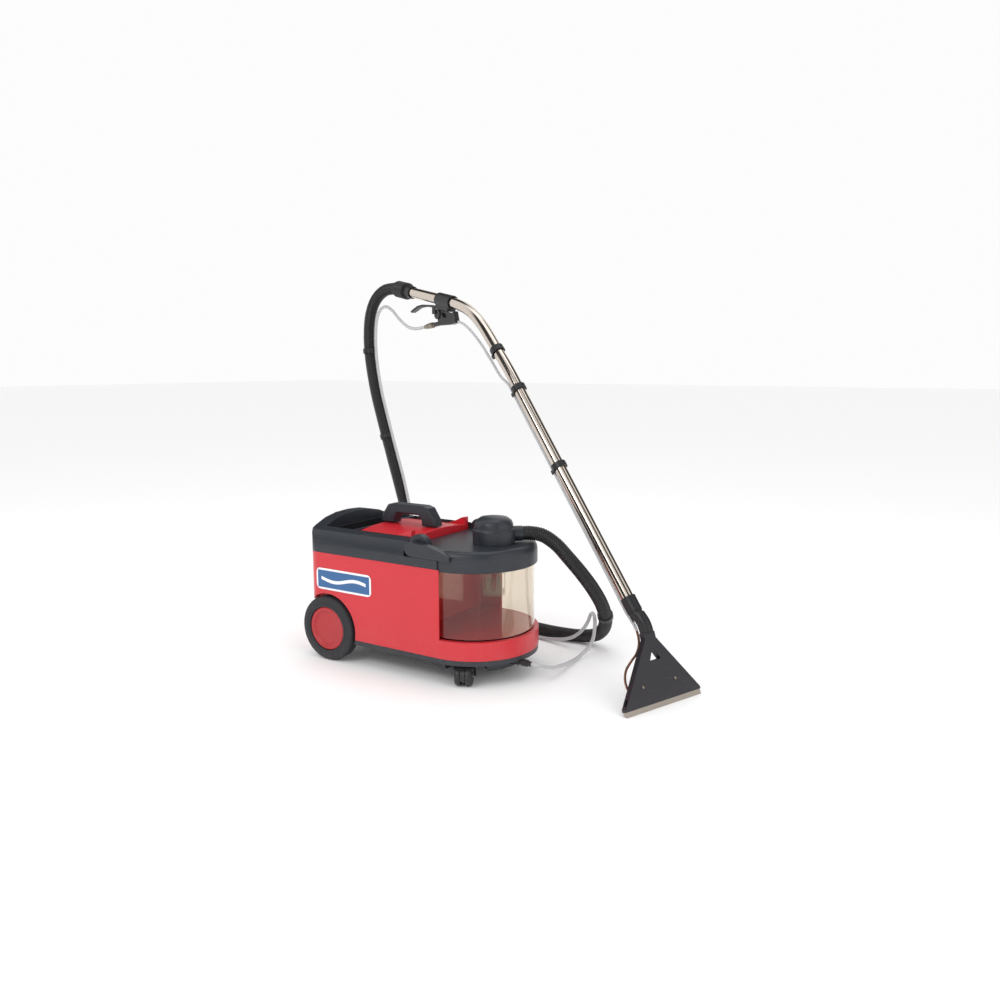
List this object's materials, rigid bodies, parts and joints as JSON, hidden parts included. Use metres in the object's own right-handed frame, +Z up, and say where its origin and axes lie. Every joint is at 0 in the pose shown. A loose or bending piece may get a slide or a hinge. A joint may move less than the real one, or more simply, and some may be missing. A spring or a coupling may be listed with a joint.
{
  "type": "carpet cleaner machine",
  "caption": "Spray-extraction carpet cleaner: wheeled body with clear recovery tank and hinged lid, joined by a corrugated vacuum hose and clear solution hose to a steel floor wand.",
  "frame": {"origin": "on the floor, under the middle of the machine and wand without the free hoses", "axes": "+X from the rear wheels to the recovery tank and floor tool, +Y to the side of the hoses, +Z up"},
  "size_m": [1.3349, 0.6426, 1.0736],
  "materials": {
    "red_shell": "moulded, satin gloss",
    "dark_shell": "fine moulded texture",
    "black_plastic": "satin",
    "tyre": "moulded rubber",
    "seal": "soft rubber",
    "tank_clear": "smoked clear plastic",
    "steel": "polished tube",
    "lip_steel": "worn",
    "copper": "bare pipe",
    "brass": "machined",
    "connector": "plated",
    "motor_metal": "cast",
    "hose_black": "corrugated, flexible",
    "hose_clear": "clear flexible tube",
    "badge": "printed label",
    "head_black": "black coat",
    "float_white": "moulded"
  },
  "bodies": {
    "machine": {"base_pan": "dark_shell", "body_shell": "red_shell", "top_trim": "dark_shell", "motor_cover": "red_shell", "carry_handle": "dark_shell", "solution_tank": "black_plastic", "vacuum_motor": "motor_metal", "motor_cradle": "black_plastic", "suction_duct": "black_plastic", "solution_pump": "motor_metal", "front_coupling": "black_plastic", "rear_axle": "steel", "switch_panel": "black_plastic", "mains_inlet": "black_plastic", "side_badge": "badge", "caster_stem_near": "steel", "caster_stem_far": "steel", "vacuum_hose_drop": "hose_black", "vacuum_hose_run": "hose_black", "solution_hose": "hose_clear", "coupling_plug": "black_plastic", "hose_clip_loop": "black_plastic", "hose_clip_mid": "black_plastic", "hose_clip_top": "black_plastic"},
    "rear_wheel_near": {"rear_tyre_near": "tyre", "rear_hub_near": "red_shell"},
    "rear_wheel_far": {"rear_tyre_far": "tyre", "rear_hub_far": "red_shell"},
    "caster_near": {"caster_fork_near": "black_plastic"},
    "caster_far": {"caster_fork_far": "black_plastic"},
    "caster_wheel_near": {"caster_wheels_near": "tyre"},
    "caster_wheel_far": {"caster_wheels_far": "tyre"},
    "recovery_tank": {"recovery_tank": "tank_clear", "tank_seal": "seal", "pivot_housing_near": "dark_shell", "pivot_housing_far": "dark_shell"},
    "lid": {"tank_lid": "dark_shell", "lid_dome": "dark_shell", "float_cage": "black_plastic", "vacuum_hose_port": "hose_black"},
    "float": {"float_ball": "float_white"},
    "vacuum_rocker": {"vacuum_switch": "red_shell"},
    "pump_rocker": {"pump_switch": "red_shell"},
    "wand": {"wand_tube": "steel", "wand_cuff": "black_plastic", "tube_collar": "black_plastic", "line_clip_upper": "black_plastic", "line_clip_lower": "black_plastic", "valve_bracket": "black_plastic", "trigger_valve": "black_plastic", "line_connector": "connector", "head_socket": "black_plastic", "head_plate": "head_black", "floor_lip": "lip_steel", "spray_pipe": "copper", "spray_jet": "brass", "spray_line": "hose_clear"},
    "trigger": {"trigger_lever": "black_plastic"}
  },
  "joints": [
    {"name": "rear_wheel_spin_near", "type": "hinge", "parent": "machine", "child": "rear_wheel_near", "pos_m": [-0.36454, -0.29424, 0.089], "axis": [0, 1, 0], "continuous": true},
    {"name": "rear_wheel_spin_far", "type": "hinge", "parent": "machine", "child": "rear_wheel_far", "pos_m": [-0.36454, 0.02376, 0.089], "axis": [0, 1, 0], "continuous": true},
    {"name": "caster_swivel_near", "type": "hinge", "parent": "machine", "child": "caster_near", "pos_m": [0.05546, -0.24724, 0.056], "axis": [0, 0, 1], "continuous": true},
    {"name": "caster_swivel_far", "type": "hinge", "parent": "machine", "child": "caster_far", "pos_m": [0.05546, -0.02324, 0.056], "axis": [0, 0, 1], "continuous": true},
    {"name": "caster_spin_near", "type": "hinge", "parent": "caster_near", "child": "caster_wheel_near", "pos_m": [0.06478, -0.27151, 0.025], "axis": [0.9336, 0.3584, 0], "continuous": true},
    {"name": "caster_spin_far", "type": "hinge", "parent": "caster_far", "child": "caster_wheel_far", "pos_m": [0.03003, -0.01783, 0.025], "axis": [-0.2079, -0.9781, 0], "continuous": true},
    {"name": "tank_lift", "type": "slide", "parent": "machine", "child": "recovery_tank", "axis": [0, 0, 1], "range_m": [0, 0.26], "deforming": ["vacuum_hose_port", "vacuum_hose_drop", "vacuum_hose_run", "solution_hose"]},
    {"name": "lid_hinge", "type": "hinge", "parent": "recovery_tank", "child": "lid", "pos_m": [-0.07454, -0.13524, 0.343], "axis": [0, -1, 0], "range_deg": [0, 75], "deforming": ["vacuum_hose_port", "vacuum_hose_drop", "vacuum_hose_run", "solution_hose"]},
    {"name": "float_rise", "type": "slide", "parent": "lid", "child": "float", "axis": [0, 0, 1], "range_m": [0, 0.06]},
    {"name": "vacuum_rock", "type": "hinge", "parent": "machine", "child": "vacuum_rocker", "pos_m": [-0.44354, -0.16124, 0.251], "axis": [0, 1, 0], "range_deg": [-8, 8]},
    {"name": "pump_rock", "type": "hinge", "parent": "machine", "child": "pump_rocker", "pos_m": [-0.44354, -0.10924, 0.251], "axis": [0, 1, 0], "range_deg": [-8, 8]},
    {"name": "wand_stroke", "type": "slide", "parent": "machine", "child": "wand", "axis": [0.9382, -0.3461, 0], "range_m": [0, 0.3], "deforming": ["vacuum_hose_port", "vacuum_hose_drop", "vacuum_hose_run", "solution_hose", "hose_clip_mid", "hose_clip_top"]},
    {"name": "trigger_pull", "type": "hinge", "parent": "wand", "child": "trigger", "pos_m": [-0.36371, 0.2118, 0.964], "axis": [0.3461, 0.9382, 0], "range_deg": [0, 6], "stiffness_Nm_per_rad": 1, "springref_deg": -8.59}
  ]
}
